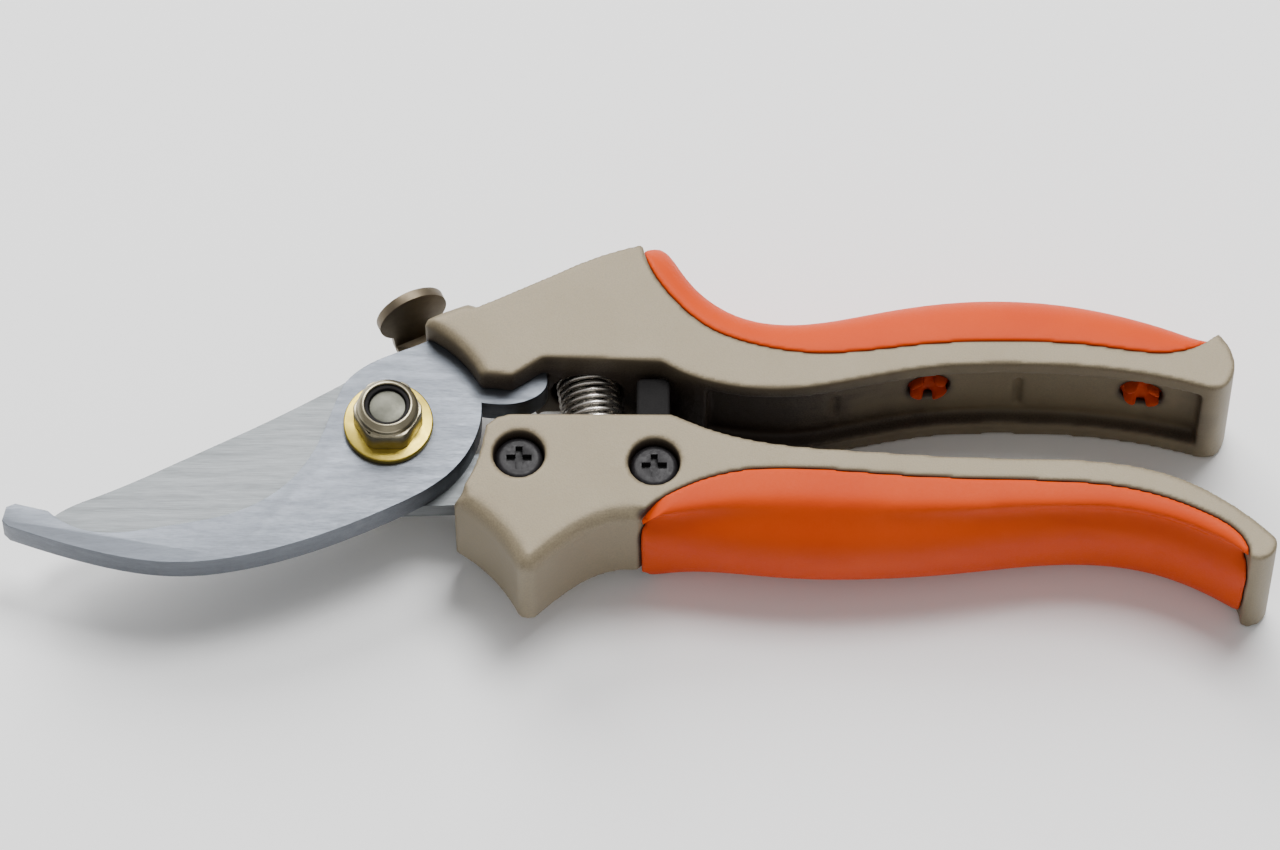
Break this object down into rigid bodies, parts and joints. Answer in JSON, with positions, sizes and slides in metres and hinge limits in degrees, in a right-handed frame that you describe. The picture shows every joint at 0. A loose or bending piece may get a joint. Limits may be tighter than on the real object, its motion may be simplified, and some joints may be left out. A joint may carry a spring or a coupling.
{
  "type": "pruning shears",
  "caption": "Bypass pruning shears with a hooked counter blade, die-cast handles, press-fit grips, coil return spring and thumb latch, shown closed",
  "frame": {"origin": "Bottom centre of the closed shears' bounding box, in the plane of the handles' flat backs that they lie on. The jaw pivot's axis is at x -0.039468, y -0.00302", "axes": "+X from the jaws towards the handle ends, +Y towards the handle that carries the hook, +Z out of the lock nut side"},
  "size_m": [0.2002, 0.062, 0.0255],
  "materials": {
    "handle_metal": "warm grey-tan satin paint on die-cast aluminium",
    "grip_plastic": "fine-grained matte orange",
    "hook_steel": "satin blue-grey",
    "blade_steel": "ground, fine brush marks",
    "zinc": "yellow zinc plate",
    "nut_steel": "zinc plated",
    "nylon": "dark nylon",
    "black_steel": "black oxide",
    "latch_steel": "dull pressed steel",
    "spring_steel": "bright drawn wire",
    "bumper_rubber": "matte black"
  },
  "bodies": {
    "upper_half": {"upper_handle": "handle_metal", "upper_grip": "grip_plastic", "hook_jaw": "hook_steel", "hook_screws": "black_steel", "pivot_bolt": "nut_steel", "lock_nut": "nut_steel", "nut_insert": "nylon", "nut_washer": "zinc", "rear_washer": "zinc", "latch_rivet": "nut_steel", "latch_washer": "spring_steel", "return_spring": "spring_steel"},
    "lower_half": {"lower_handle": "handle_metal", "lower_grip": "grip_plastic", "cutting_blade": "blade_steel", "blade_screws": "black_steel", "catch_pin": "nut_steel", "stop_bumper": "bumper_rubber"},
    "latch": {"latch_plate": "latch_steel"}
  },
  "joints": [
    {"name": "jaws_open", "type": "hinge", "parent": "upper_half", "child": "lower_half", "pos_m": [-0.03947, -0.00302, 0.0133], "axis": [0, 0, -1], "range_deg": [0, 32], "deforming": ["return_spring"]},
    {"name": "latch_swing", "type": "hinge", "parent": "upper_half", "child": "latch", "pos_m": [-0.02747, 0.01218, 0.00895], "axis": [0, 0, -1], "range_deg": [0, 10]}
  ]
}
